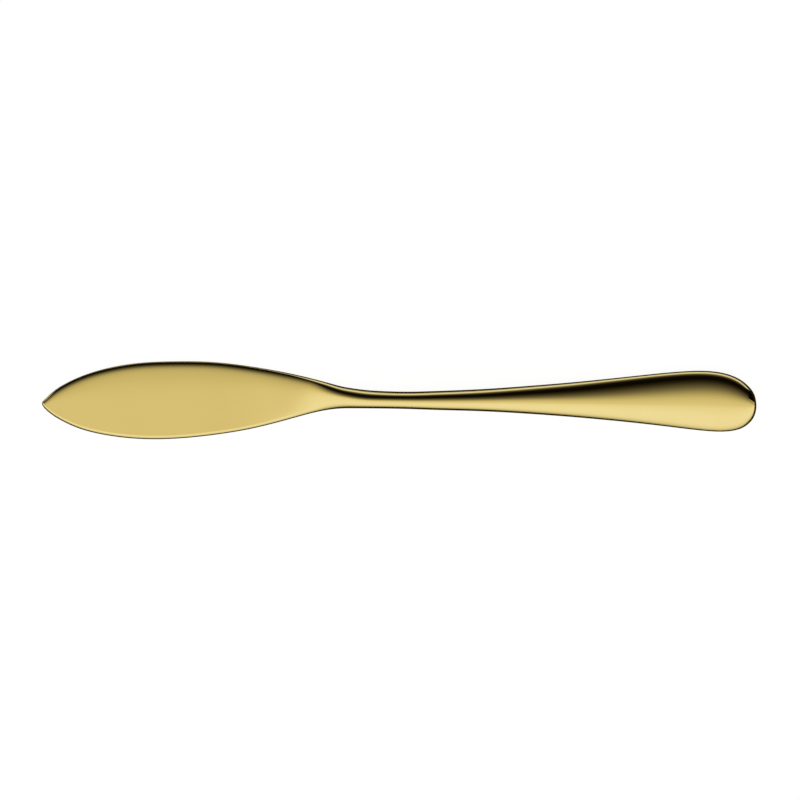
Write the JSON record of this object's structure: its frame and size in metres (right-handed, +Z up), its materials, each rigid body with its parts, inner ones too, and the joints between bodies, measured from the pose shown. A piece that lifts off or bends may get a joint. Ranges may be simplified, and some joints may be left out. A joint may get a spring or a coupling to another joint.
{
  "type": "fish knife",
  "caption": "Fish knife with a broad pointed flat blade, a slim oval neck and a flared, rounded handle, in one polished forging.",
  "frame": {"origin": "centre of the knife's plan outline, on the plane that it rests on", "axes": "+X from the blade's tip to the handle's end, +Y from the belly edge to the spine, +Z up from the table"},
  "size_m": [0.205, 0.0224, 0.0057],
  "materials": {
    "gilt_steel": "stainless steel polished to a mirror, with a pale gold coat"
  },
  "bodies": {
    "root": {"blade": "gilt_steel", "neck": "gilt_steel", "handle": "gilt_steel"}
  },
  "joints": []
}
